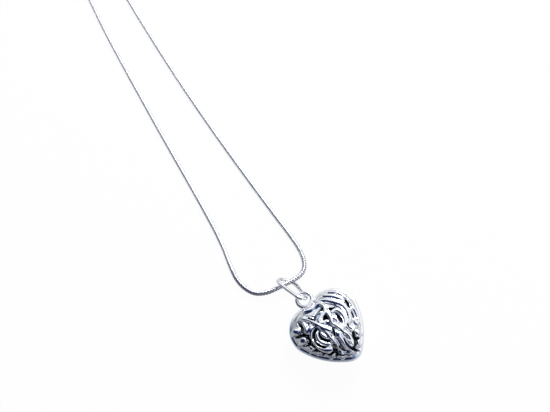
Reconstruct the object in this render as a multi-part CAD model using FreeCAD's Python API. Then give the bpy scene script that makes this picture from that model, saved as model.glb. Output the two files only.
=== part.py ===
import FreeCAD, Part
import math
import os

# Necklace: a hollow puffed filigree heart on a teardrop link, on a round snake chain that closes in a
# lobster clasp. Millimetres. +Z is up from the table, +Y runs from the heart's tip to its eye.
V = FreeCAD.Vector
UP = V(0, 0, 1)

# heart: two pierced domes, soldered to a seam band
heart_half_width = 9.0
heart_length = 17.5
lobe_radius = 5.9
tip_radius = 3.2
side_radius = 18.0
cleft_radius = 1.4
dome_height = 4.7
wall = 0.9
crown_share = 0.22
seam_half = 0.25
seam_proud = 0.12
heart_roll = -15.0
fair_levels = (0.0, 0.3, 0.55, 0.75, 0.88, 0.96, 1.0)

# eye ring, soldered into the cleft
eye_radius = 1.8
eye_wire = 1.0
eye_bite = 0.3

# teardrop link between the eye and the chain
link_wire = 0.85
link_narrow = 1.6
link_wide = 2.6
link_span = 6.2
link_azimuth = 5.8
link_drop = 24.2
link_turn = 54.6
link_pull = 0.3
chain_in_link = (0.63, -0.44)

# snake chain
chain_diameter = 1.2
chain_station = V(0.975, 12.01, 2.172)
station_run = 5.6
station_heading = -9.2

# end caps and the loops soldered to them
strand_gap = 12.4
clasp_turn = -12.0
mouth_place = V(35.92, 193.1, 0)
cap_radius = 0.95
cap_length = 3.4
cap_edge = 0.15
loop_radius = 1.0
loop_wire = 0.5

# rings
jump_radius = 1.75
jump_wire = 0.5
jump_heading = 52.0
end_radius = 2.3
end_wire = 0.5

# lobster clasp
clasp_height = 1.4
clasp_eye_radius = 1.0
clasp_eye_wire = 0.6
hook_radius = 1.75
hook_width = 0.9
hook_thickness = 0.8
hook_start = 150.0
hook_end = 380.0
body_thickness = 2.0
body_width = 3.0
slot_width = 1.0
lever_width = 0.7
lever_thickness = 0.8
lever_start = 24.0
lever_end = 118.0
lever_gap = 0.12
lever_travel = 12.0
pivot_angle = 126.0
pin_radius = 0.3
pin_clearance = 0.05
hub_radius = 0.62
tab_length = 1.5
spring_wire = 0.22
ring_in_hook = 0.4
ring_in_hook_angle = -35.0
ring_in_loop = 0.12


def on_circle(centre, radius, degrees, z=0.0):
    a = math.radians(degrees)
    return V(centre.x + radius * math.cos(a), centre.y + radius * math.sin(a), z)


def arc(centre, radius, start, end, z=0.0):
    middle = (start + end) / 2
    ends = [on_circle(centre, radius, a, z) for a in (start, middle, end)]
    return Part.Arc(*ends).toShape()


def slab(edges, low, high):
    face = Part.Face(Part.Wire(edges))
    face.translate(V(0, 0, low))
    return face.extrude(V(0, 0, high - low))


# --- heart ---------------------------------------------------------------------------------------

lobe_x = heart_half_width - lobe_radius
lobe_centre = V(lobe_x, 0, 0)
tip_y = lobe_radius - heart_length
tip_centre = V(0, tip_y + tip_radius, 0)
cleft_centre = V(0, math.sqrt((lobe_radius + cleft_radius) ** 2 - lobe_x ** 2), 0)
cleft_y = cleft_centre.y - cleft_radius
puff_centre = V(0, (lobe_radius + tip_y) * 0.3, 0)


def side_centre():
    """Centre of the long side arc, which touches the lobe circle and the tip circle from outside."""
    near = side_radius - lobe_radius
    far = side_radius - tip_radius
    line = tip_centre - lobe_centre
    gap = line.Length
    along = (gap ** 2 + near ** 2 - far ** 2) / (2 * gap)
    off = math.sqrt(near ** 2 - along ** 2)
    line.normalize()
    return lobe_centre + line * along + V(line.y, -line.x, 0) * off


def heading(start, end):
    return math.degrees(math.atan2(end.y - start.y, end.x - start.x))


def half_outline(middle):
    """Right half of the outline: cleft, lobe, side and tip, as tangent arcs."""
    cleft_turn = heading(cleft_centre, lobe_centre)
    lobe_top = heading(lobe_centre, cleft_centre)
    lobe_low = heading(middle, lobe_centre)
    side_low = heading(middle, tip_centre)
    return [
        arc(cleft_centre, cleft_radius, -90, cleft_turn),
        arc(lobe_centre, lobe_radius, lobe_top, lobe_low),
        arc(middle, side_radius, lobe_low, side_low),
        arc(tip_centre, tip_radius, side_low, -90),
    ]


def heart_outline():
    right = half_outline(side_centre())
    left = [edge.mirror(V(0, 0, 0), V(1, 0, 0)) for edge in right]
    return Part.Wire(Part.__sortEdges__(right + left))


def puff(inset):
    """The upper half of the puffed heart, inset all round: a loft of shrinking outlines."""
    outline = heart_outline()
    size = (heart_half_width - inset) / heart_half_width
    full = (dome_height - inset) / math.sqrt(1 - crown_share ** 2)
    floor = seam_half / full
    crown = (dome_height - inset) / full
    sections = []
    for level in fair_levels:
        height = floor + (crown - floor) * level
        section = outline.copy()
        section.scale(size * math.sqrt(1 - height ** 2), puff_centre)
        section.translate(V(0, 0, height * full))
        sections.append(section)
    return Part.makeLoft(sections, True, False)


def curved_slot(x, y, radius, width, start, end):
    """A slot that follows an arc, with round ends, right through the dome."""
    centre = V(x, y, 0)
    inner = radius - width / 2
    outer = radius + width / 2
    first = on_circle(centre, radius, start)
    last = on_circle(centre, radius, end)
    edges = [
        arc(centre, outer, start, end),
        arc(last, width / 2, end, end + 180),
        arc(centre, inner, end, start),
        arc(first, width / 2, start + 180, start + 360),
    ]
    return slab(Part.__sortEdges__(edges), seam_half, dome_height + 1)


def round_hole(x, y, radius):
    return Part.makeCylinder(radius, dome_height + 1 - seam_half, V(x, y, seam_half))


def scroll_cuts():
    """One side's openings: the spiral's gaps, the leaf by the cleft, and the long gap at the tip."""
    return [
        curved_slot(3.0, -0.9, 2.9, 0.85, -150, 20),
        curved_slot(3.2, -0.7, 1.35, 0.8, -160, 10),
        curved_slot(2.2, 1.2, 2.6, 0.8, 50, 130),
        curved_slot(4.0, -0.6, 3.9, 0.8, -5, 55),
        curved_slot(-4.5, -7.2, 5.6, 0.8, -5, 30),
        round_hole(1.5, 1.15, 0.55),
        round_hole(6.2, -3.6, 0.6),
        round_hole(3.6, -6.6, 0.6),
    ]


def pierced_dome():
    dome = puff(0).cut(puff(wall))
    cuts = scroll_cuts()
    cuts += [cut.mirror(V(0, 0, 0), V(1, 0, 0)) for cut in scroll_cuts()]
    cuts.append(round_hole(0, -0.9, 0.55))
    return dome.cut(cuts)


def cavity_floor():
    inner = heart_outline()
    full = (dome_height - wall) / math.sqrt(1 - crown_share ** 2)
    share = (heart_half_width - wall) / heart_half_width
    inner.scale(share * math.sqrt(1 - (seam_half / full) ** 2), puff_centre)
    return inner


def seam_band():
    outer = heart_outline()
    outer.scale(1 + seam_proud / heart_half_width, puff_centre)
    face = Part.Face(outer).cut(Part.Face(cavity_floor()))
    face.translate(V(0, 0, -seam_half))
    return face.extrude(V(0, 0, 2 * seam_half))


# --- where the pendant lies ------------------------------------------------------------------------

def bearing(azimuth, drop):
    a = math.radians(azimuth)
    d = math.radians(drop)
    return V(math.sin(a) * math.cos(d), math.cos(a) * math.cos(d), -math.sin(d))


link_along = bearing(link_azimuth, link_drop)
link_level = link_along.cross(UP)
link_level.normalize()
link_raised = link_level.cross(link_along)
turn = math.radians(link_turn)
link_across = link_raised * math.cos(turn) - link_level * math.sin(turn)
wide_centre = chain_station - link_along * chain_in_link[0] - link_across * chain_in_link[1]
narrow_centre = wide_centre - link_along * link_span
eye_centre = narrow_centre - V(0, eye_radius - link_pull, 0)
eye_y = cleft_y + eye_radius + eye_wire / 2 - eye_bite


def place_heart(shape):
    """From the heart's own flat frame to where it lies, leaning on one side of its belly."""
    shape.rotate(V(0, 0, 0), V(0, 1, 0), heart_roll)
    shape.translate(eye_centre - V(0, eye_y, 0))
    return shape


def planar_loop(centre, along, across, narrow, wide, span):
    """Two arcs and two straight legs: a closed teardrop."""
    lean = math.asin((wide - narrow) / span)
    far = centre + along * span

    def spot(middle, radius, degrees):
        a = math.radians(degrees)
        return middle + (across * math.cos(a) + along * math.sin(a)) * radius

    tilt = math.degrees(lean)
    wide_points = [spot(far, wide, a) for a in (-tilt, 90, 180 + tilt)]
    narrow_points = [spot(centre, narrow, a) for a in (180 + tilt, 270, 360 - tilt)]
    return Part.Wire([
        Part.Arc(*wide_points).toShape(),
        Part.LineSegment(wide_points[2], narrow_points[0]).toShape(),
        Part.Arc(*narrow_points).toShape(),
        Part.LineSegment(narrow_points[2], wide_points[0]).toShape(),
    ])


def swept(path, radius, start, tangent):
    section = Part.Wire([Part.makeCircle(radius, start, tangent)])
    return path.makePipeShell([section], True, False)


def bail_link():
    path = planar_loop(narrow_centre, link_along, link_across, link_narrow, link_wide, link_span)
    first = path.OrderedEdges[0]
    start = first.valueAt(first.FirstParameter)
    return swept(path, link_wire / 2, start, first.tangentAt(first.FirstParameter))


# --- chain -----------------------------------------------------------------------------------------

def from_mouth(x, y, z=0.0):
    """A point of the clasp's own frame: x across the strands, y away from the heart."""
    spot = V(x, y, z)
    return FreeCAD.Rotation(UP, clasp_turn).multVec(spot) + mouth_place


run_out = 18.0
table_line = chain_diameter / 2
half_run = V(math.cos(math.radians(station_heading)), math.sin(math.radians(station_heading)), 0)
half_run = half_run * (station_run / 2)
left_x = -strand_gap / 2
right_x = strand_gap / 2

chain_route = [
    from_mouth(left_x, 0, cap_radius),
    from_mouth(left_x, -run_out, table_line),
    V(21.2, 156.3, table_line),
    V(16.6, 137.2, table_line),
    V(12.4, 117.5, table_line),
    V(8.5, 98.2, table_line),
    V(4.8, 79.8, table_line),
    V(1.3, 61.5, table_line),
    V(-1.8, 45.6, table_line),
    V(-4.5, 33.2, table_line),
    V(-7.0, 25.9, table_line),
    V(-8.3, 20.6, table_line),
    V(-7.4, 15.7, 0.75),
    V(-4.7, 13.3, 1.5),
    chain_station - half_run,
    chain_station + half_run,
    V(6.9, 12.5, 1.5),
    V(9.2, 15.1, 0.8),
    V(10.7, 18.9, table_line),
    V(11.6, 24.4, table_line),
    V(12.8, 34.0, table_line),
    V(14.8, 48.1, table_line),
    V(17.3, 65.2, table_line),
    V(20.3, 83.5, table_line),
    V(23.6, 102.0, table_line),
    V(27.3, 121.0, table_line),
    V(31.1, 139.6, table_line),
    V(34.8, 156.6, table_line),
    from_mouth(right_x, -run_out, table_line),
    from_mouth(right_x, 0, cap_radius),
]


def rounded_route(points):
    """Straight runs joined by tangent arcs, each as large as its two runs allow."""
    edges = []
    radii = []
    start = points[0]
    for before, corner, after in zip(points, points[1:], points[2:]):
        back = before - corner
        on = after - corner
        trim = 0.45 * min(back.Length, on.Length)
        half = (math.pi - back.getAngle(on)) / 2
        radius = trim / math.tan(half)
        back.normalize()
        on.normalize()
        arc_start = corner + back * trim
        arc_end = corner + on * trim
        inward = back + on
        inward.normalize()
        reach = radius / math.cos(half) - radius
        edges.append(Part.LineSegment(start, arc_start).toShape())
        edges.append(Part.Arc(arc_start, corner + inward * reach, arc_end).toShape())
        radii.append(radius)
        start = arc_end
    edges.append(Part.LineSegment(start, points[-1]).toShape())
    return Part.Wire(edges), radii


def snake_chain():
    path, radii = rounded_route(chain_route)
    tube = swept(path, chain_diameter / 2, chain_route[0], chain_route[1] - chain_route[0])
    section = math.pi * chain_diameter ** 2 / 4
    print("chain arc radii", [round(r, 1) for r in radii])
    ratio = tube.Volume / section / path.Length
    print("chain length", round(path.Length, 2), "volume ratio", round(ratio, 5))
    return tube


# --- end caps, rings and clasp, in the clasp's frame --------------------------------------------------

def place_clasp(shape):
    shape.rotate(V(0, 0, 0), UP, clasp_turn)
    shape.translate(mouth_place)
    return shape


def ring(radius, wire, centre, axis):
    return Part.makeTorus(radius, wire / 2, centre, axis)


loop_y = cap_length + loop_radius


def end_cap(x):
    cup = Part.makeCylinder(cap_radius, cap_length, V(x, 0, cap_radius), V(0, 1, 0))
    rims = [edge for edge in cup.Edges if isinstance(edge.Curve, Part.Circle)]
    cup = cup.makeFillet(cap_edge, rims)
    loop = ring(loop_radius, loop_wire, V(x, loop_y, cap_radius), UP)
    return cup.fuse(loop).removeSplitter()


def reach_at(radius, centre_z, z):
    """How far from an upright ring's middle its wire crosses the height z."""
    return math.sqrt(radius ** 2 - (centre_z - z) ** 2)


jump_z = jump_radius + jump_wire / 2
jump_way = on_circle(V(0, 0, 0), 1, jump_heading)
left_loop = V(left_x, loop_y, 0)
jump_centre = left_loop + jump_way * reach_at(jump_radius, jump_z, cap_radius)
clasp_eye = jump_centre + jump_way * reach_at(jump_radius, jump_z, clasp_height)

# The clasp is as long as the end ring leaves room for, with the ring's wire just off the hook's middle.
end_z = end_radius + end_wire / 2
right_loop = V(right_x, loop_y, 0)
in_hook = on_circle(V(0, 0, 0), ring_in_hook, ring_in_hook_angle)
end_reach = reach_at(end_radius, end_z, cap_radius)
end_span = end_reach - ring_in_loop + reach_at(end_radius, end_z, clasp_height)
end_rise = clasp_eye.y + in_hook.y - loop_y
held_at = right_loop + V(-math.sqrt(end_span ** 2 - end_rise ** 2), end_rise, 0)
hook_centre = held_at - in_hook
end_way = held_at - right_loop
end_way.normalize()
end_centre = right_loop + end_way * (end_reach - ring_in_loop)


def upright_ring(radius, wire, centre, way):
    return ring(radius, wire, V(centre.x, centre.y, radius + wire / 2), V(-way.y, way.x, 0))


def arc_bar(centre, radius, width, start, end, thickness):
    inner = radius - width / 2
    outer = radius + width / 2
    first = on_circle(centre, radius, start)
    last = on_circle(centre, radius, end)
    edges = [
        arc(centre, outer, start, end),
        arc(last, width / 2, end, end + 180),
        arc(centre, inner, end, start),
        arc(first, width / 2, start + 180, start + 360),
    ]
    low = clasp_height - thickness / 2
    return slab(Part.__sortEdges__(edges), low, low + thickness)


pivot = on_circle(hook_centre, hook_radius, pivot_angle, clasp_height)


def upright(centre, radius, thickness):
    return Part.makeCylinder(radius, thickness, V(centre.x, centre.y, clasp_height - thickness / 2))


def clasp_body():
    eye = ring(clasp_eye_radius, clasp_eye_wire, V(clasp_eye.x, clasp_eye.y, clasp_height), UP)
    hook = arc_bar(hook_centre, hook_radius, hook_width, hook_start, hook_end, hook_thickness)
    shank_start = clasp_eye.x + clasp_eye_radius
    shank_end = hook_centre.x - hook_radius
    shank_y = clasp_eye.y
    length = shank_end - shank_start
    block = Part.makeBox(length, body_width, body_thickness)
    block.translate(V(shank_start, shank_y - body_width / 2, clasp_height - body_thickness / 2))
    uprights = [edge for edge in block.Edges if abs(edge.tangentAt(edge.FirstParameter).z) > 0.9]
    block = block.makeFillet(body_width * 0.3, uprights)
    cheeks = upright(pivot, hub_radius, body_thickness)
    neck = Part.makeBox(pivot.x - shank_end + 1.2, hub_radius * 1.6, body_thickness)
    neck.translate(V(shank_end - 1.2, pivot.y - hub_radius * 0.8, clasp_height - body_thickness / 2))
    body = block.multiFuse([eye, hook, cheeks, neck])
    slot = Part.makeCylinder(hub_radius + lever_gap, slot_width)
    slot.translate(V(pivot.x, pivot.y, clasp_height - slot_width / 2))
    away = Part.makeBox(3.2, 3.0, slot_width)
    away.translate(V(pivot.x - 1.35, pivot.y - 0.1, clasp_height - slot_width / 2))
    bore = upright(pivot, pin_radius, body_thickness + 1)
    cuts = [slot, away, bore]
    for step in range(5):
        sweep = arc_bar(hook_centre, hook_radius, lever_width + 2 * lever_gap, lever_start, lever_end, slot_width)
        sweep.rotate(pivot, UP, -lever_travel * step / 4)
        cuts.append(sweep)
    return body.cut(cuts).removeSplitter()


def clasp_lever():
    bar = arc_bar(hook_centre, hook_radius, lever_width, lever_start, lever_end, lever_thickness)
    hub = upright(pivot, hub_radius - 0.05, lever_thickness)
    tab = Part.makeBox(lever_width, tab_length, lever_thickness)
    tab.translate(V(pivot.x - lever_width / 2, pivot.y, clasp_height - lever_thickness / 2))
    tip = upright(pivot + V(0, tab_length, 0), lever_width / 2, lever_thickness)
    bore = upright(pivot, pin_radius + pin_clearance, lever_thickness + 1)
    return bar.multiFuse([hub, tab, tip]).cut(bore).removeSplitter()


def lever_spring():
    """A short bent wire in the slot behind the lever."""
    x = pivot.x - hub_radius - 0.38
    y = pivot.y + 0.15
    points = [V(x, y, clasp_height), V(x - 0.15, y + 0.45, clasp_height), V(x + 0.05, y + 0.95, clasp_height)]
    curve = Part.Arc(*points)
    path = Part.Wire([curve.toShape()])
    return swept(path, spring_wire / 2, points[0], curve.tangent(curve.FirstParameter)[0])


# --- the pieces ---------------------------------------------------------------------------------------

front = pierced_dome()
back = front.mirror(V(0, 0, 0), UP)

pieces = {
    "heart_front_shell": place_heart(front),
    "heart_back_shell": place_heart(back),
    "heart_seam_band": place_heart(seam_band()),
    "eye_ring": place_heart(ring(eye_radius, eye_wire, V(0, eye_y, 0), UP)),
    "bail_link": bail_link(),
    "snake_chain": snake_chain(),
    "end_cap_clasp_side": place_clasp(end_cap(left_x)),
    "end_cap_ring_side": place_clasp(end_cap(right_x)),
    "clasp_jump_ring": place_clasp(upright_ring(jump_radius, jump_wire, jump_centre, jump_way)),
    "clasp_body": place_clasp(clasp_body()),
    "clasp_lever": place_clasp(clasp_lever()),
    "lever_pin": place_clasp(upright(pivot, pin_radius, body_thickness)),
    "lever_spring": place_clasp(lever_spring()),
    "end_ring": place_clasp(upright_ring(end_radius, end_wire, end_centre, end_way)),
}

os.makedirs("parts", exist_ok=True)
for name, shape in pieces.items():
    solids = shape.Solids
    print(name, "solids", len(solids), "valid", shape.isValid(), "volume", round(shape.Volume, 3))
    solid = solids[0] if len(solids) == 1 else Part.Compound(solids)
    solid.exportStep("parts/" + name + ".step")
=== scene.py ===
import math

import bmesh
import bpy
import numpy as np
from mathutils import Matrix, Vector


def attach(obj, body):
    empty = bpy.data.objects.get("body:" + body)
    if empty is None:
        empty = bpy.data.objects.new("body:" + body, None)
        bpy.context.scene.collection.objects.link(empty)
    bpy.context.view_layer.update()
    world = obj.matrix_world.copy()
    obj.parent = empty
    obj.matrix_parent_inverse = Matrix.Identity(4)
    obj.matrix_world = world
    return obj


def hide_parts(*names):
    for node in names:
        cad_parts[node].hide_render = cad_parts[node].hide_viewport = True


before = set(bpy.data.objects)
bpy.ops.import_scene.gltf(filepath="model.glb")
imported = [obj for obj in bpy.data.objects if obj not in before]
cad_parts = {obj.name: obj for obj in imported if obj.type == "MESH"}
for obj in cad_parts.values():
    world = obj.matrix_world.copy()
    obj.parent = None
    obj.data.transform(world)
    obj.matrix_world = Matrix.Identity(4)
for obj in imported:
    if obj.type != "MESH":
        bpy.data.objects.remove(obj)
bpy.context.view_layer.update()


# --- Camera ----------------------------------------------------------------------------------------
# Looks down at 52 degrees from beside the heart's tip, so that both strands of the chain run away to
# the upper left and leave the view there.
CAMERA_AT = (-0.05022, -0.04721, 0.13399)
CAMERA_RIGHT = Vector((0.7826, -0.6225, 0)).normalized()
CAMERA_AHEAD = Vector((0.3833, 0.4818, -0.788)).normalized()
scene = bpy.context.scene
scene.view_settings.view_transform = "Standard"
camera = bpy.data.objects.new("camera", bpy.data.cameras.new("camera"))
scene.collection.objects.link(camera)
camera.data.sensor_width = 36
camera.data.lens = 39.27
camera.data.clip_start = 0.01
camera.data.clip_end = 5
camera_up = CAMERA_RIGHT.cross(CAMERA_AHEAD)
camera_turn = Matrix((CAMERA_RIGHT, camera_up, -CAMERA_AHEAD)).transposed()
camera.matrix_world = Matrix.Translation(CAMERA_AT) @ camera_turn.to_4x4()
scene.camera = camera


# --- Snake chain -----------------------------------------------------------------------------------
# A round snake chain, 1.2 mm, in polished silver: a thousand short wavy plates, each turned a quarter
# against the last, so that the seams between them zigzag. Limp, and laid loosely on the table.
MM = 0.001
CHAIN_DIAMETER = 1.2 * MM
PLATE_PITCH = 0.38 * MM
PLATE_SIDES = 14
PLATE_WAVE = 0.03 * MM          # how far a plate's edge waves to each side
PLATE_SHOULDER = 1.9            # moves a plate's two middle rings out towards its edges
PLATE_EDGE = 0.98               # keeps the edges of two plates from lying in one plane
SEAM_CLOSED = 0.035 * MM        # how deep the seam between two plates is on the straight
SEAM_OPEN = 0.1 * MM            # and where the chain bends
OPEN_FROM = 0.4                 # the share of the full bend from which the deep seam is used
BEND_SPAN = 2 * MM
FULL_BEND = 0.2                 # radians over the span that open the plates fully
STRAIGHT_END = 3 * MM           # the last stretch at each end, which is taken as straight
EDGE_FROM = 0.4                 # how far from its middle a plate's edge starts, as a share of the pitch
SEAM_FROM = 0.35                # and where its painted shade does
SEAM_SHADE = 0.03             # the painted shade of a closed seam, and what the full bend adds
BEND_SHADE = 1.1
chain_route = [
    (29.855, 194.389, 0.95), (26.113, 176.782, 0.6), (21.2, 156.3, 0.6), (16.6, 137.2, 0.6),
    (12.4, 117.5, 0.6), (8.5, 98.2, 0.6), (4.8, 79.8, 0.6), (1.3, 61.5, 0.6), (-1.8, 45.6, 0.6),
    (-4.5, 33.2, 0.6), (-7.0, 25.9, 0.6), (-8.3, 20.6, 0.6), (-7.4, 15.7, 0.75), (-4.7, 13.3, 1.5),
    (-1.789, 12.458, 2.172), (3.739, 11.562, 2.172), (6.9, 12.5, 1.5), (9.2, 15.1, 0.8),
    (10.7, 18.9, 0.6), (11.6, 24.4, 0.6), (12.8, 34.0, 0.6), (14.8, 48.1, 0.6), (17.3, 65.2, 0.6),
    (20.3, 83.5, 0.6), (23.6, 102.0, 0.6), (27.3, 121.0, 0.6), (31.1, 139.6, 0.6), (34.8, 156.6, 0.6),
    (38.243, 174.204, 0.6), (41.985, 191.811, 0.95),
]


def nurbs_curve(name, points, ends=True):
    curve = bpy.data.curves.new(name, "CURVE")
    curve.dimensions = "3D"
    spline = curve.splines.new("NURBS")
    spline.points.add(len(points) - 1)
    for spot, (x, y, z) in zip(spline.points, points):
        spot.co = (x, y, z, 1)
    spline.order_u = 3
    spline.use_endpoint_u = ends
    spline.use_cyclic_u = not ends
    spline.resolution_u = 24
    return curve


def mesh_of(curve):
    holder = bpy.data.objects.new("shape", curve)
    scene.collection.objects.link(holder)
    made = bpy.data.meshes.new_from_object(holder)
    bpy.data.objects.remove(holder)
    return made


def mesh_from(shape, name):
    made = bpy.data.meshes.new(name)
    shape.to_mesh(made)
    shape.free()
    return made


def new_piece(name, mesh, *materials):
    piece = bpy.data.objects.new(name, mesh)
    scene.collection.objects.link(piece)
    for material in materials:
        mesh.materials.append(material)
    return piece


chain_line = mesh_of(nurbs_curve("chain_line", [[c * MM for c in p] for p in chain_route]))
line = np.array([v.co[:] for v in chain_line.vertices])
steps = np.linalg.norm(np.diff(line, axis=0), axis=1)
line = line[np.append(True, steps > 1e-9)]
travel = np.append(0, np.cumsum(np.linalg.norm(np.diff(line, axis=0), axis=1)))


def chain_spot(distance):
    return Vector([np.interp(distance, travel, line[:, i]) for i in range(3)])


def along_chain(distance):
    """Where a plate sits and how it is turned: its Z along the chain."""
    way = (chain_spot(distance + PLATE_PITCH / 2) - chain_spot(distance - PLATE_PITCH / 2)).normalized()
    level = way.cross(Vector((0, 0, 1))).normalized()
    turned = Matrix((level, level.cross(way), way)).transposed()
    return Matrix.Translation(chain_spot(distance)) @ turned.to_4x4()


def seam_opening(distance):
    """How far the plates gape: fully in the bend at the link, hardly at all on the straight."""
    distance = min(max(distance, STRAIGHT_END), travel[-1] - STRAIGHT_END)
    before, here, after = (along_chain(distance + step).to_3x3().col[2]
                           for step in (-BEND_SPAN, 0, BEND_SPAN))
    return min(1, max(before.angle(here), here.angle(after)) / FULL_BEND)


def chain_plate(sign, seam_depth):
    plate = bmesh.new()
    bmesh.ops.create_cone(plate, cap_ends=True, segments=PLATE_SIDES, radius1=CHAIN_DIAMETER / 2,
                          radius2=CHAIN_DIAMETER / 2, depth=PLATE_PITCH)
    sides = [e for e in plate.edges if abs(e.verts[0].co.z - e.verts[1].co.z) > PLATE_PITCH / 2]
    bmesh.ops.subdivide_edges(plate, edges=sides, cuts=2)
    drawn_in = 1 - seam_depth * 2 / CHAIN_DIAMETER
    for v in plate.verts:
        at_edge = abs(v.co.z) > PLATE_PITCH * EDGE_FROM
        turn = math.atan2(v.co.y, v.co.x)
        v.co.z *= PLATE_EDGE if at_edge else PLATE_SHOULDER
        v.co.z += sign * math.copysign(PLATE_WAVE, v.co.z) * math.cos(2 * turn)
        if at_edge:
            v.co.x *= drawn_in
            v.co.y *= drawn_in
    for face in plate.faces:
        face.smooth = len(face.verts) == 4
    return mesh_from(plate, "plate")


def plate_shade(v, gape):
    """The painted shade in a seam: most on the outside of the bend, where the plates stand apart."""
    if abs(v.co.z) <= PLATE_PITCH * SEAM_FROM:
        return 0
    outside = 0.45 + 0.55 * v.co.x / (CHAIN_DIAMETER / 2)
    return min(1, SEAM_SHADE + BEND_SHADE * gape * outside)


plates = [[chain_plate(sign, depth) for sign in (1, -1)] for depth in (SEAM_CLOSED, SEAM_OPEN)]
chain_mesh = bmesh.new()
plate_count = round(travel[-1] / PLATE_PITCH)
painted_shade = []
for i in range(plate_count):
    distance = travel[-1] * (i + 0.5) / plate_count
    gape = seam_opening(distance)
    plate = plates[gape > OPEN_FROM][i % 2]
    first = len(chain_mesh.verts)
    chain_mesh.from_mesh(plate)
    chain_mesh.verts.ensure_lookup_table()
    # each plate's painted shade: darkest in the seams on the outside of the bend, where they gape
    painted_shade += [plate_shade(v, gape) for v in plate.vertices]
    bmesh.ops.transform(chain_mesh, matrix=along_chain(distance), verts=chain_mesh.verts[first:])
chain_mesh = mesh_from(chain_mesh, "snake_chain_plates")
chain_mesh.attributes.new("depth", "FLOAT", "POINT").data.foreach_set("value", painted_shade)


def linear(hex_colour):
    parts = [int(hex_colour[i:i + 2], 16) / 255 for i in (1, 3, 5)]
    return [c / 12.92 if c <= 0.04045 else ((c + 0.055) / 1.055) ** 2.4 for c in parts] + [1]


def node(material, kind, links=(), values=(), **settings):
    """Adds a node: links are (input, node, output), and values are (input, value)."""
    made = material.node_tree.nodes.new(kind)
    for name, value in settings.items():
        if hasattr(made, name):
            setattr(made, name, value)
        else:
            made.inputs[name.replace("_", " ")].default_value = value
    for socket, value in values:
        made.inputs[socket].default_value = value
    for socket, source, output in links:
        material.node_tree.links.new(source.outputs[output], made.inputs[socket])
    return made


# Polished silver is a slightly soft mirror with the faint orange peel of its making. Where a piece has
# deep places, they are painted blue-black: painted shade standing in for the shade that falls there.
PAINTED_SHADE_COLOUR = "#4B4C74"
PEEL_HEIGHT = 0.1 * MM


def metal(name, colour, roughness, peel_mm, peel, shade_colour=None):
    material = bpy.data.materials.new(name)
    material.use_nodes = True
    shader = material.node_tree.nodes["Principled BSDF"]
    join = material.node_tree.links.new
    shader.inputs["Metallic"].default_value = 1
    shader.inputs["Roughness"].default_value = roughness
    shader.inputs["Base Color"].default_value = linear(colour)
    place = node(material, "ShaderNodeTexCoord")
    grain = node(material, "ShaderNodeTexNoise", [("Vector", place, "Object")],
                 Scale=1 / (peel_mm * MM), Detail=3.0, Roughness=0.5)
    bump = node(material, "ShaderNodeBump", [("Height", grain, "Fac")], Strength=peel,
                Distance=PEEL_HEIGHT)
    join(bump.outputs["Normal"], shader.inputs["Normal"])
    worn = node(material, "ShaderNodeMapRange", [("Value", grain, "Fac")], From_Min=0.3, From_Max=0.7,
                To_Min=roughness * 0.7, To_Max=roughness * 1.5)
    join(worn.outputs["Result"], shader.inputs["Roughness"])
    # painted shade: the depth attribute mixes the blue-black shade colour into the silver
    if shade_colour:
        depth = node(material, "ShaderNodeAttribute", attribute_name="depth")
        tint = node(material, "ShaderNodeMix", [("Factor", depth, "Fac")],
                    [(6, linear(colour)), (7, linear(shade_colour))], data_type="RGBA")
        join(tint.outputs[2], shader.inputs["Base Color"])
    return material


# stamped and polished: bright, with a short glint on each plate, and painted shade in its seams
chain_silver = metal("stamped_silver_plate", "#EEF0F4", 0.14, peel_mm=0.35, peel=0.05, shade_colour=PAINTED_SHADE_COLOUR)
chain = new_piece("snake_chain_plates", chain_mesh, chain_silver)
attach(chain, "chain")
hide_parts("snake_chain")


# --- Heart -----------------------------------------------------------------------------------------
# Two hollow cast domes with raised scrolls, leaves round the rim and openings between them, soldered
# at a seam band. Each dome is a pierced plate with the scrolls laid on it, softened as casting does.
# Its lengths are in millimetres, in the heart's own frame.
HEART_ROLL = math.radians(-15)
HEART_AT = Vector((-0.0008, -2.7568, 5.2043))
HALF_WIDTH = 9.0
PUFF_CENTRE = np.array([0, -1.71])
PUFF_FULL = 4.818               # the dome's height if its top weren't flattened
DOME = 4.7                      # its real height
DOME_STEP = 6                   # degrees between two rings of the plate
PLATE_SINK = 0.5                # how far the plate lies under the dome's outer face
PLATE_WALL = 0.5
BAR_SINK = 0.3
LEAF_SINK = 0.55
END_REACH = 0.7                 # how far a bar's rounded end runs on, as a share of its radius
END_TAPER = 0.25
BAR_STEPS = 8
ROUND_STEPS = 3
RIM_SHARE = 0.96                # the rim bar's place, as a share of the outline
RIM_RISE = 0.35
RIM_RADIUS = 0.36
CUT_DEPTHS = (-0.15, 0.15, 0.45, 0.75, 1.0)
CASTING_GRID = 0.11
FUSING_GRID = 0.143
SEAM_HEIGHT = 0.26
SHADE_FROM = 0.42             # how deep a point lies where its painted shade starts
SHADE_OVER = 0.45             # and the depth over which it becomes full


def arc_points(x, y, radius, start, end, count):
    angles = np.radians(np.linspace(start, end, count))
    return np.column_stack([x + radius * np.cos(angles), y + radius * np.sin(angles)])


half_outline = np.vstack([
    arc_points(0, 6.609, 1.4, -90, -64.87, 6)[:-1],             # cleft
    arc_points(3.1, 0, 5.9, 115.13, -18.26, 40)[:-1],           # lobe
    arc_points(-8.391, 3.792, 18, -18.26, -55.46, 16)[:-1],     # flank
    arc_points(0, -8.4, 3.2, -55.46, -90, 12),                  # tip
])
outline = np.vstack([half_outline, (half_outline * [-1, 1])[-2:0:-1]])
spokes = outline - PUFF_CENTRE
spoke_turn = np.arctan2(spokes[:, 1], spokes[:, 0])
spoke_order = np.argsort(spoke_turn)
spoke_turn = spoke_turn[spoke_order]
spoke_reach = np.hypot(spokes[:, 0], spokes[:, 1])[spoke_order]


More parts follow.
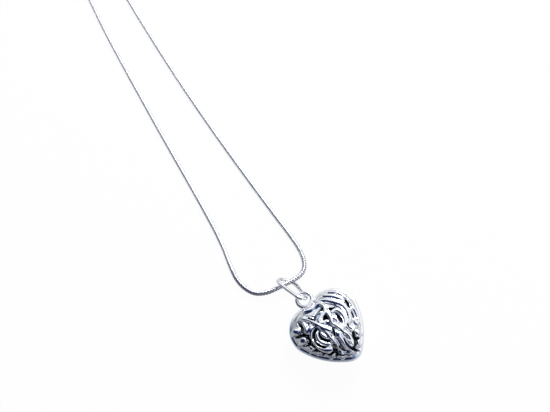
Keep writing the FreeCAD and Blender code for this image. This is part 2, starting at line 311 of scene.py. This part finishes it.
def share_and_reach(x, y):
    """How far out a point lies, as a share of the outline's distance from the middle that way."""
    dx, dy = np.asarray(x) - PUFF_CENTRE[0], np.asarray(y) - PUFF_CENTRE[1]
    reach = np.interp(np.arctan2(dy, dx), spoke_turn, spoke_reach, period=2 * math.pi)
    return np.hypot(dx, dy) / reach, reach


def on_dome(x, y, sink):
    """The point over x, y on the dome, in the heart's own frame, let in by the sink."""
    share, reach = share_and_reach(x, y)
    height = min(PUFF_FULL * math.sqrt(max(1 - share ** 2, 0)), DOME)
    pull = 1 - sink / float(reach)
    return x * pull, PUFF_CENTRE[1] + (y - PUFF_CENTRE[1]) * pull, height * (1 - sink / PUFF_FULL)


def below_dome(spots):
    """How far points lie under the dome's outer face."""
    share, reach = share_and_reach(spots[:, 0], spots[:, 1])
    rise = spots[:, 2] / PUFF_FULL
    ratio = np.sqrt(share ** 2 + rise ** 2)
    slope = np.sqrt((share / reach) ** 2 + (rise / PUFF_FULL) ** 2) / np.maximum(ratio, 1e-6)
    return (1 - ratio) / slope


def rounded_end(end, neighbour):
    """One more point, past a bar's end and thinner, that rounds the end off."""
    (x, y, radius), (next_x, next_y, _) = end, neighbour
    reach = radius * END_REACH / max(math.hypot(next_x - x, next_y - y), 0.1)
    return x + (x - next_x) * reach, y + (y - next_y) * reach, radius * END_TAPER


def bar(points, sink):
    """A round bar that follows the dome: each point is x, y and the bar's radius."""
    points = [rounded_end(*points[:2])] + points + [rounded_end(*points[:-3:-1])]
    path = [on_dome(x, y, sink) + (radius,) for x, y, radius in points]
    curve = nurbs_curve("bar", [p[:3] for p in path])
    curve.splines[0].resolution_u = BAR_STEPS
    for spot, p in zip(curve.splines[0].points, path):
        spot.radius = p[3]
    curve.bevel_depth = 1
    curve.bevel_resolution = ROUND_STEPS
    curve.use_fill_caps = True
    return mesh_of(curve)


# Every bar, leaf and opening is a list of points along it: x, y and its radius there.
scrolls = [
    # long bar down from the left lobe
    [(-4.14, 3.77, 0.42), (-3.78, 2.65, 0.50), (-3.03, 1.40, 0.42), (-2.59, 0.06, 0.42),
     (-2.15, -1.21, 0.46), (-1.74, -2.49, 0.46), (-1.16, -3.55, 0.42), (-0.71, -4.36, 0.38)],
    # scroll under the cleft
    [(-2.60, 4.20, 0.35), (-1.79, 3.63, 0.50), (-0.91, 3.19, 0.50), (0.53, 3.04, 0.42),
     (1.79, 2.83, 0.50)],
    # lower edge of the upper opening
    [(-3.62, 3.55, 0.30), (-2.77, 2.36, 0.30), (-1.90, 1.28, 0.34), (-0.44, 1.17, 0.34),
     (0.47, 1.02, 0.36)],
    # curl down the middle
    [(1.79, 2.83, 0.50), (1.99, 1.07, 0.50), (1.25, 0.01, 0.45), (0.02, -0.11, 0.42),
     (-1.06, -0.37, 0.45), (-1.76, -0.97, 0.45)],
    # stem right of the middle opening
    [(1.39, 0.06, 0.42), (1.33, -1.35, 0.46), (0.91, -2.39, 0.46), (0.48, -3.06, 0.42),
     (1.09, -4.79, 0.42), (1.27, -6.22, 0.42)],
    # foot of the middle opening
    [(-1.57, -1.14, 0.38), (-0.82, -1.84, 0.36), (-0.20, -1.53, 0.30), (0.09, -2.35, 0.30)],
    # right spiral
    [(1.78, -1.05, 0.42), (3.46, -1.06, 0.46), (3.97, -2.36, 0.50), (3.67, -4.15, 0.55),
     (2.60, -5.32, 0.50), (1.41, -5.53, 0.42)],
    # right spiral's core
    [(1.54, -2.27, 0.42), (2.02, -3.04, 0.42), (1.70, -3.95, 0.42), (0.96, -3.84, 0.36)],
    # inner band of the right lobe
    [(1.11, 3.79, 0.50), (2.92, 2.94, 0.60), (4.30, 0.90, 0.70), (5.58, -1.09, 0.70),
     (5.37, -3.18, 0.70), (4.49, -4.88, 0.65), (3.47, -5.45, 0.45)],
    # outer band of the right lobe
    [(3.64, 3.88, 0.60), (5.03, 2.40, 0.70), (6.18, 0.76, 0.60), (6.38, -0.74, 0.40)],
    # rim bar of the right lobe
    [(5.33, 3.88, 0.40), (6.76, 2.51, 0.50), (7.31, 0.56, 0.45), (7.37, -2.02, 0.42),
     (6.99, -3.88, 0.42), (6.31, -5.51, 0.45), (5.42, -6.83, 0.50)],
    # upper bridge to the rim bar
    [(5.47, -3.08, 0.35), (6.48, -3.03, 0.35), (7.34, -2.96, 0.35)],
    # lower bridge to the rim bar
    [(4.41, -5.14, 0.40), (5.15, -5.58, 0.45), (5.82, -5.89, 0.40)],
    # leg under the right spiral
    [(3.36, -5.39, 0.40), (2.46, -6.01, 0.42), (2.84, -7.18, 0.46), (3.99, -7.00, 0.36)],
    # rib right of the tip
    [(1.28, -6.39, 0.42), (1.65, -7.58, 0.50), (1.29, -8.82, 0.50), (0.85, -9.78, 0.42)],
    # bead on that rib
    [(0.72, -8.56, 0.50), (0.89, -9.40, 0.50)],
    # left spiral's upper edge
    [(-2.09, -1.72, 0.30), (-2.74, -0.90, 0.32), (-3.80, -0.88, 0.34), (-4.82, -1.40, 0.36),
     (-5.51, -2.20, 0.34)],
    # left spiral's broad rib
    [(-3.60, -2.30, 0.40), (-4.22, -2.85, 0.48), (-4.49, -4.04, 0.52), (-3.97, -5.33, 0.52),
     (-2.95, -6.29, 0.42)],
    # left spiral's core
    [(-2.91, -2.98, 0.36), (-2.99, -3.81, 0.46), (-2.67, -4.76, 0.40)],
    # ring round the core
    [(-2.33, -2.18, 0.36), (-1.92, -3.42, 0.40), (-1.84, -4.81, 0.42), (-2.22, -5.74, 0.36)],
    # thick crescent outside the left spiral
    [(-5.60, -2.75, 0.34), (-5.53, -3.78, 0.50), (-5.35, -5.04, 0.70), (-4.68, -6.35, 0.82),
     (-3.69, -7.17, 0.66), (-3.04, -7.26, 0.40)],
    # stub under the left spiral
    [(-1.80, -5.50, 0.34), (-2.01, -6.25, 0.42), (-1.87, -6.99, 0.40)],
    # cross at the long bar's foot
    [(-0.44, -4.80, 0.40), (-0.13, -5.56, 0.50), (0.41, -6.25, 0.40)],
    # the cross's arm
    [(0.41, -6.25, 0.40), (-0.64, -5.92, 0.40), (-1.07, -6.00, 0.30)],
    # rib down to the tip
    [(-0.26, -6.42, 0.42), (-0.36, -7.41, 0.50), (-0.45, -8.53, 0.50), (-0.32, -9.77, 0.50),
     (-0.26, -10.85, 0.45)],
    # left rib to the tip
    [(-1.84, -7.31, 0.30), (-2.29, -8.09, 0.34), (-1.92, -9.27, 0.36), (-0.92, -10.50, 0.40)],
    # upper stripe on the left lobe
    [(-4.33, 2.00, 0.30), (-4.57, 0.87, 0.42), (-5.10, -0.22, 0.42), (-5.55, -0.80, 0.30)],
    # lower stripe on the left lobe
    [(-3.22, 0.16, 0.30), (-4.09, -0.22, 0.36), (-4.77, -0.76, 0.36)],
]
leaves = [
    # left rim, from the lobe to the tip
    [(-6.66, 1.77, 0.84), (-7.30, 2.11, 1.05), (-7.95, 2.45, 0.79)],
    [(-6.61, -1.01, 0.80), (-7.56, -0.91, 1.00), (-8.50, -0.81, 0.75)],
    [(-6.65, -3.48, 0.64), (-7.09, -3.60, 0.80), (-7.52, -3.72, 0.60)],
    [(-5.87, -4.95, 0.60), (-6.25, -5.16, 0.75), (-6.64, -5.37, 0.56)],
    [(-5.20, -5.95, 0.40), (-5.54, -6.23, 0.50), (-5.88, -6.51, 0.38)],
    [(-4.11, -7.29, 0.76), (-4.38, -7.65, 0.95), (-4.65, -8.02, 0.71)],
    [(-2.41, -8.89, 0.76), (-2.57, -9.36, 0.95), (-2.72, -9.83, 0.71)],
    [(-1.00, -9.83, 0.48), (-1.06, -10.36, 0.60), (-1.13, -10.89, 0.45)],
    # right of the tip
    [(3.53, -7.89, 0.72), (3.76, -8.30, 0.90), (3.99, -8.70, 0.68)],
    [(1.81, -9.34, 0.80), (1.93, -9.84, 1.00), (2.05, -10.34, 0.75)],
    [(4.98, -6.25, 0.56), (5.31, -6.55, 0.70), (5.63, -6.84, 0.52)],
]
openings = [
    # upper opening, under the cleft
    [(-1.22, 1.26, 0.20), (-0.16, 1.31, 0.34), (0.93, 1.35, 0.34), (1.57, 1.39, 0.22)],
    # opening left of it, beside the long bar
    [(-3.08, 2.41, 0.12), (-2.63, 1.67, 0.20), (-2.34, 0.75, 0.26), (-1.70, 0.28, 0.16)],
    # opening inside the curl
    [(2.41, 0.26, 0.28), (2.78, -0.28, 0.34), (3.54, -0.38, 0.22)],
    # slot inside the inner band
    [(3.73, -0.17, 0.12), (4.51, -1.19, 0.14), (4.56, -2.62, 0.14), (4.05, -4.10, 0.12)],
    # three-cornered middle opening
    [(0.72, -0.50, 0.24), (0.37, -0.99, 0.40), (-0.49, -1.08, 0.26)],
    # its lower corner
    [(0.37, -0.99, 0.40), (0.52, -1.67, 0.28)],
    # round hole under it
    [(-0.38, -2.88, 0.42), (-0.39, -2.92, 0.42), (-0.40, -2.97, 0.42)],
    # slit beside the long bar
    [(-0.16, -4.05, 0.20), (-0.52, -4.89, 0.26), (-1.04, -5.88, 0.20)],
    # inside the right spiral
    [(2.91, -1.68, 0.20), (2.94, -2.76, 0.32), (2.72, -3.93, 0.36), (2.47, -4.56, 0.20)],
    # inside the left spiral
    [(-2.94, -1.41, 0.30), (-4.15, -1.75, 0.36), (-4.92, -2.63, 0.36), (-5.10, -3.91, 0.34),
     (-4.78, -5.22, 0.28), (-4.09, -5.98, 0.18)],
    # between the broad rib and the core
    [(-3.15, -2.57, 0.22), (-3.74, -3.65, 0.30), (-3.39, -4.94, 0.30), (-2.55, -5.90, 0.24)],
    # hole in the leg
    [(3.08, -5.34, 0.24), (2.86, -6.29, 0.36), (3.19, -6.81, 0.24)],
    # upper gap between band and rim bar
    [(7.20, -0.16, 0.20), (7.02, -1.33, 0.30), (6.50, -2.55, 0.30)],
    # lower gap between band and rim bar
    [(6.37, -3.61, 0.24), (6.01, -4.36, 0.30), (5.63, -5.23, 0.26)],
    # behind the leaves of the left rim, from the lobe to the tip
    [(-5.45, 3.23, 0.26), (-5.39, 1.84, 0.40), (-5.87, 0.67, 0.40), (-6.91, 0.59, 0.36)],
    [(-6.82, 0.48, 0.34), (-6.08, -0.56, 0.42), (-5.67, -1.69, 0.44), (-6.30, -2.50, 0.42)],
    [(-6.55, -2.55, 0.42), (-6.06, -3.55, 0.44), (-6.05, -4.62, 0.42), (-5.67, -6.01, 0.36)],
    [(-5.75, -6.07, 0.30), (-4.80, -7.29, 0.34), (-3.57, -7.91, 0.50)],
    [(-2.64, -7.04, 0.40), (-3.00, -7.73, 0.60), (-3.28, -8.32, 0.50)],
    [(-3.09, -8.49, 0.30), (-2.09, -9.91, 0.25), (-0.66, -11.05, 0.25)],
    # slit left of the tip rib
    [(-1.92, -7.91, 0.24), (-1.72, -8.75, 0.30), (-1.38, -9.61, 0.20)],
    # behind the leaves right of the tip
    [(3.07, -7.63, 0.30), (2.42, -8.66, 0.42), (1.57, -9.55, 0.44), (0.75, -10.38, 0.40)],
    # slit right of the tip rib
    [(0.17, -7.39, 0.20), (-0.19, -8.45, 0.30), (-0.16, -9.61, 0.32), (0.30, -10.49, 0.30)],
    # small hole in the right rib
    [(0.73, -8.72, 0.20), (0.74, -8.80, 0.20), (0.75, -8.87, 0.20)],
    # between the leaves of the left rim, from the lobe to the tip
    [(-8.34, 1.33, 0.20), (-7.55, 0.57, 0.30), (-6.90, 0.39, 0.30)],
    [(-8.31, -1.47, 0.20), (-7.24, -2.43, 0.30), (-6.63, -2.63, 0.30)],
    [(-7.39, -3.96, 0.20), (-6.45, -4.78, 0.26), (-5.95, -4.87, 0.30)],
    [(-6.26, -6.41, 0.20), (-5.77, -6.58, 0.26), (-5.38, -6.45, 0.30)],
    [(-3.92, -8.99, 0.20), (-3.54, -8.87, 0.26), (-3.20, -8.66, 0.30)],
    # between the two leaves right of the tip
    [(3.41, -9.44, 0.20), (2.73, -9.18, 0.28), (2.31, -8.95, 0.30)],
    # beside the tip
    [(1.06, -11.32, 0.20), (0.58, -11.02, 0.28), (0.43, -10.69, 0.30)],
    # pit at the root of the second leaf
    [(-6.25, -1.42, 0.15), (-6.28, -1.54, 0.18), (-6.32, -1.68, 0.15)],
]


def joined(meshes):
    whole = bmesh.new()
    for part in meshes:
        whole.from_mesh(part)
    return mesh_from(whole, "joined")


def finished(piece):
    bpy.context.view_layer.update()
    return bpy.data.meshes.new_from_object(piece.evaluated_get(bpy.context.evaluated_depsgraph_get()))


def melted(piece, name, grid):
    """Makes one skin of the shapes in a piece, as molten silver would."""
    remesh = piece.modifiers.new(name, "REMESH")
    remesh.mode = "VOXEL"
    remesh.voxel_size = grid


def scaled_about_puff(shape, size, verts):
    bmesh.ops.scale(shape, vec=(size, size, 1), verts=verts,
                    space=Matrix.Translation((0, -PUFF_CENTRE[1], 0)))


def pierced_plate():
    """The dome under the scrolls: the outline pulled in and up level by level, and closed at its top."""
    plate = bmesh.new()
    full = PUFF_FULL - PLATE_SINK
    loop = [plate.verts.new((x, y, 0)) for x, y in outline]
    edges = [plate.edges.new(pair) for pair in zip(loop, loop[1:] + loop[:1])]
    scaled_about_puff(plate, (HALF_WIDTH - PLATE_SINK) / HALF_WIDTH, loop)
    size, height = 1.0, 0.0
    for level in np.sin(np.radians(np.arange(DOME_STEP, 90, DOME_STEP))):
        grown = bmesh.ops.extrude_edge_only(plate, edges=edges)["geom"]
        loop = [g for g in grown if isinstance(g, bmesh.types.BMVert)]
        edges = [g for g in grown if isinstance(g, bmesh.types.BMEdge)]
        new_size = math.sqrt(1 - level ** 2)
        scaled_about_puff(plate, new_size / size, loop)
        bmesh.ops.translate(plate, vec=(0, 0, level * full - height), verts=loop)
        size, height = new_size, level * full
    bmesh.ops.contextual_create(plate, geom=edges)
    bmesh.ops.recalc_face_normals(plate, faces=plate.faces)
    return mesh_from(plate, "plate")


def dome_casting():
    """One dome: plate, rim and scrolls fused, the openings cut through, and all of it softened."""
    cutter = new_piece("openings", joined(
        [bar(points, sink) for points in openings for sink in CUT_DEPTHS]))
    melted(cutter, "whole", CASTING_GRID)
    plate = new_piece("plate", pierced_plate())
    wall = plate.modifiers.new("wall", "SOLIDIFY")
    wall.thickness = PLATE_WALL
    wall.offset = -1
    middle = PUFF_CENTRE[1]
    rim = nurbs_curve("rim", [(x * RIM_SHARE, (y - middle) * RIM_SHARE + middle, RIM_RISE)
                              for x, y in outline[::2]], ends=False)
    rim.bevel_depth = RIM_RADIUS
    rim.bevel_resolution = ROUND_STEPS
    bars = [bar(points, BAR_SINK) for points in scrolls] + [bar(points, LEAF_SINK) for points in leaves]
    casting = new_piece("casting", joined([finished(plate), mesh_of(rim)] + bars))
    melted(casting, "fuse", FUSING_GRID)
    cut = casting.modifiers.new("openings", "BOOLEAN")
    cut.object = cutter
    cut.solver = "EXACT"
    melted(casting, "heal", CASTING_GRID)
    soften = casting.modifiers.new("soften", "SMOOTH")
    soften.factor = 0.5
    soften.iterations = 4
    mesh = finished(casting)
    for helper in (cutter, plate, casting):
        bpy.data.objects.remove(helper)
    return mesh


def heart_half(name, casting, flip):
    """Places a dome on its side of the seam, cuts it there, and notes how deep each point lies."""
    shape = bmesh.new()
    shape.from_mesh(casting)
    bmesh.ops.bisect_plane(shape, geom=shape.verts[:] + shape.edges[:] + shape.faces[:],
                           plane_co=(0, 0, SEAM_HEIGHT), plane_no=(0, 0, -1), clear_outer=True)
    bmesh.ops.holes_fill(shape, edges=[e for e in shape.edges if e.is_boundary])
    spots = np.array([v.co[:] for v in shape.verts])
    # painted shade: the deeper a point lies under the dome's outer face, the darker it is painted, the
    # inside too
    depth = np.clip((below_dome(spots) - SHADE_FROM) / SHADE_OVER, 0, 1)
    if flip:
        bmesh.ops.scale(shape, vec=(1, 1, -1), verts=shape.verts)
        bmesh.ops.reverse_faces(shape, faces=shape.faces)
    place = (Matrix.Scale(MM, 4) @ Matrix.Translation(HEART_AT) @ Matrix.Rotation(HEART_ROLL, 4, "Y"))
    bmesh.ops.transform(shape, matrix=place, verts=shape.verts)
    for face in shape.faces:
        face.smooth = True
    mesh = mesh_from(shape, name)
    mesh.attributes.new("depth", "FLOAT", "POINT").data.foreach_set("value", depth)
    return new_piece(name, mesh, heart_silver)


# cast and tumbled: a softer, less even mirror than a wire's, with painted shade in its deep places
heart_silver = metal("cast_silver_with_painted_shade", "#EFF1F5", 0.15, peel_mm=1.1, peel=0.12, shade_colour=PAINTED_SHADE_COLOUR)
casting = dome_casting()
for name, node_name, flip in (("heart_front_scrolls", "heart_front_shell", False),
                              ("heart_back_scrolls", "heart_back_shell", True)):
    half = heart_half(name, casting, flip)
    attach(half, "heart")
    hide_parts(node_name)


# --- Seam band, eye ring and teardrop link ---------------------------------------------------------
# The band is soldered between the two domes and the eye into their cleft. The link is bent from round
# drawn wire through the eye and round the chain. Their CAD shapes stay, and only their finish is set.
def give_finish(material, *node_names):
    for name in node_names:
        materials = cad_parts[name].data.materials
        materials.clear()
        materials.append(material)


# drawn and burnished: the clearest mirror of all the pieces
wire_silver = metal("drawn_silver_wire", "#F1F2F5", 0.08, peel_mm=0.8, peel=0.04)
give_finish(wire_silver, "heart_seam_band", "eye_ring", "bail_link")


# --- End caps and rings ----------------------------------------------------------------------------
# Each strand is glued into a cap, a turned cup with a wire loop. A jump ring joins the left cap to the
# clasp, and the ring that the clasp closes on hangs in the right one.
give_finish(wire_silver, "end_cap_clasp_side", "end_cap_ring_side", "clasp_jump_ring", "end_ring")


# --- Clasp -----------------------------------------------------------------------------------------
# A lobster clasp: a pressed and tumbled silver body with its hook, and a lever that closes the hook.
# Both are their CAD shapes with the sharp edges eased, as tumbling does.
EDGE_EASE = 0.1 * MM
SAME_SPOT = 0.001 * MM
FLAT_ANGLE = math.radians(1)
EASED_ANGLE = math.radians(40)
CREASE_ANGLE = math.radians(35)
# pressed and tumbled: a duller mirror than the wire
clasp_silver = metal("pressed_silver", "#DDE0E6", 0.22, peel_mm=0.9, peel=0.05)
for node_name, body in (("clasp_body", "clasp"), ("clasp_lever", "lever")):
    eased = bmesh.new()
    eased.from_mesh(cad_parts[node_name].data)
    bmesh.ops.remove_doubles(eased, verts=eased.verts, dist=SAME_SPOT)
    bmesh.ops.dissolve_limit(eased, angle_limit=FLAT_ANGLE, verts=eased.verts, edges=eased.edges)
    sharp = [e for e in eased.edges if e.is_manifold and e.calc_face_angle() > EASED_ANGLE]
    bmesh.ops.bevel(eased, geom=sharp, offset=EDGE_EASE, offset_type="OFFSET", segments=2, profile=0.5,
                    affect="EDGES", clamp_overlap=True, material=-1)
    bmesh.ops.triangulate(eased, faces=eased.faces)
    for face in eased.faces:
        face.smooth = True
    for edge in eased.edges:
        edge.smooth = not edge.is_manifold or edge.calc_face_angle() < CREASE_ANGLE
    piece = new_piece(node_name + "_eased", mesh_from(eased, node_name + "_eased"), clasp_silver)
    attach(piece, body)
    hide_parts(node_name)


# --- Lever pin and spring --------------------------------------------------------------------------
# The lever turns on a riveted steel pin, and a small spring of the same steel behind it keeps the hook
# shut. Their CAD shapes stay, and only their finish is set: bare steel, greyer than silver, half shiny.
pin_steel = metal("spring_steel", "#C4C6CA", 0.25, peel_mm=0.2, peel=0.04)
give_finish(pin_steel, "lever_pin", "lever_spring")


# --- Table -----------------------------------------------------------------------------------------
# White paper that runs out of sight. A dark card lies on it to the left of the heart, and only gloss sees
# it, because polished silver shows its shape only by something dark to mirror.
PAPER_HALF = 3
PAPER_WHITE = 0.97              # how much of the paper the camera sees as plain white
PAPER_MIRRORED = 0.1            # and how much of it gloss does
CARD_TOWARD = (-0.93, -0.36, 0)
CARD_EDGE = (-3 * MM, 4 * MM)   # where the card's soft edge starts and ends, that way
CARD_SHARE = 0.4
CARD_DARK = linear("#1D273F")
table_mesh = bmesh.new()
bmesh.ops.create_grid(table_mesh, x_segments=1, y_segments=1, size=PAPER_HALF)
paper = bpy.data.materials.new("white_paper")
paper.use_nodes = True
paper_shader = paper.node_tree.nodes["Principled BSDF"]
paper_shader.inputs["Base Color"].default_value = linear("#FFFFFF")
paper_shader.inputs["Roughness"].default_value = 0.9
rays = node(paper, "ShaderNodeLightPath")
glow = node(paper, "ShaderNodeEmission", Color=linear("#FFFFFF"), Strength=1.0)
mirrored = node(paper, "ShaderNodeMath", [(0, rays, "Is Glossy Ray")], [(1, PAPER_MIRRORED)],
                operation="MULTIPLY")
share = node(paper, "ShaderNodeMath", [(0, rays, "Is Camera Ray"), (2, mirrored, "Value")],
             [(1, PAPER_WHITE)], operation="MULTIPLY_ADD")
lit = node(paper, "ShaderNodeMixShader",
           [("Fac", share, "Value"), (1, paper_shader, "BSDF"), (2, glow, "Emission")])
spot = node(paper, "ShaderNodeTexCoord")
toward = node(paper, "ShaderNodeVectorMath", [(0, spot, "Object")], [(1, CARD_TOWARD)],
              operation="DOT_PRODUCT")
reach = node(paper, "ShaderNodeMapRange", [("Value", toward, "Value")], From_Min=CARD_EDGE[0],
             From_Max=CARD_EDGE[1], To_Max=CARD_SHARE, interpolation_type="SMOOTHSTEP")
card = node(paper, "ShaderNodeMath", [(0, rays, "Is Glossy Ray"), (1, reach, "Result")],
            operation="MULTIPLY")
dark = node(paper, "ShaderNodeEmission", Color=CARD_DARK, Strength=1.0)
mixed = node(paper, "ShaderNodeMixShader",
             [("Fac", card, "Value"), (1, lit, "Shader"), (2, dark, "Emission")])
paper.node_tree.links.new(mixed.outputs["Shader"],
                          paper.node_tree.nodes["Material Output"].inputs["Surface"])
table = new_piece("table", mesh_from(table_mesh, "table"), paper)


# --- Room and lamp ---------------------------------------------------------------------------------
# A pale room, dark on its front left side and dim at its horizon, which gives the silver its dark bands.
# One soft round lamp hangs high behind the heart. The camera itself sees the room as plain white.
DARK_SIDE = Vector((-0.97, -0.16, 0.08)).normalized()
ROOM_TONES = ((0.06, "#FFFFFF"), (0.26, "#BCCEEA"), (0.38, "#61769E"), (0.5, "#192445"))
HORIZON_DIM = 0.1               # the horizon's light, as a share of the light from above
HORIZON_BAND = (0.02, 0.3)      # the sine of the height over which that light comes back
ROOM_LEVEL = 0.3                # how much the room lights matt things
GLOSS_LEVEL = 1.05              # and how bright it is in a mirror
world = bpy.data.worlds.new("room")
scene.world = world
world.use_nodes = True
background = world.node_tree.nodes["Background"]
way = node(world, "ShaderNodeTexCoord")
world_rays = node(world, "ShaderNodeLightPath")
facing = node(world, "ShaderNodeVectorMath", [(0, way, "Generated")], [(1, DARK_SIDE)],
              operation="DOT_PRODUCT")
tone = node(world, "ShaderNodeValToRGB", [("Fac", facing, "Value")])
stops = tone.color_ramp.elements
for stop, (position, colour) in zip(stops, (ROOM_TONES[0], ROOM_TONES[-1])):
    stop.position, stop.color = position, linear(colour)
for position, colour in ROOM_TONES[1:-1]:
    stops.new(position).color = linear(colour)
plain = node(world, "ShaderNodeMix", [("Factor", world_rays, "Is Camera Ray"), (6, tone, "Color")],
             [(7, linear("#FFFFFF"))], data_type="RGBA")
world.node_tree.links.new(plain.outputs[2], background.inputs["Color"])
upward = node(world, "ShaderNodeVectorMath", [(0, way, "Generated")], [(1, (0, 0, 1))],
              operation="DOT_PRODUCT")
horizon = node(world, "ShaderNodeMapRange", [("Value", upward, "Value")],
               From_Min=HORIZON_BAND[0], From_Max=HORIZON_BAND[1], To_Min=HORIZON_DIM,
               interpolation_type="SMOOTHSTEP")
level = node(world, "ShaderNodeMapRange", [("Value", world_rays, "Is Glossy Ray")],
             To_Min=ROOM_LEVEL, To_Max=GLOSS_LEVEL)
room_light = node(world, "ShaderNodeMath", [(0, horizon, "Result"), (1, level, "Result")],
                  operation="MULTIPLY")
strength = node(world, "ShaderNodeMath", [(0, room_light, "Value"), (1, world_rays, "Is Camera Ray")],
                operation="MAXIMUM")
world.node_tree.links.new(strength.outputs["Value"], background.inputs["Strength"])

lamp = bpy.data.objects.new("soft_lamp", bpy.data.lights.new("soft_lamp", "AREA"))
lamp.data.shape = "DISK"
lamp.data.size = 0.25
lamp.data.energy = 2.4
lamp.location = (0.32, 0.22, 0.34)
lamp.rotation_euler = lamp.location.to_track_quat("Z", "Y").to_euler()
scene.collection.objects.link(lamp)
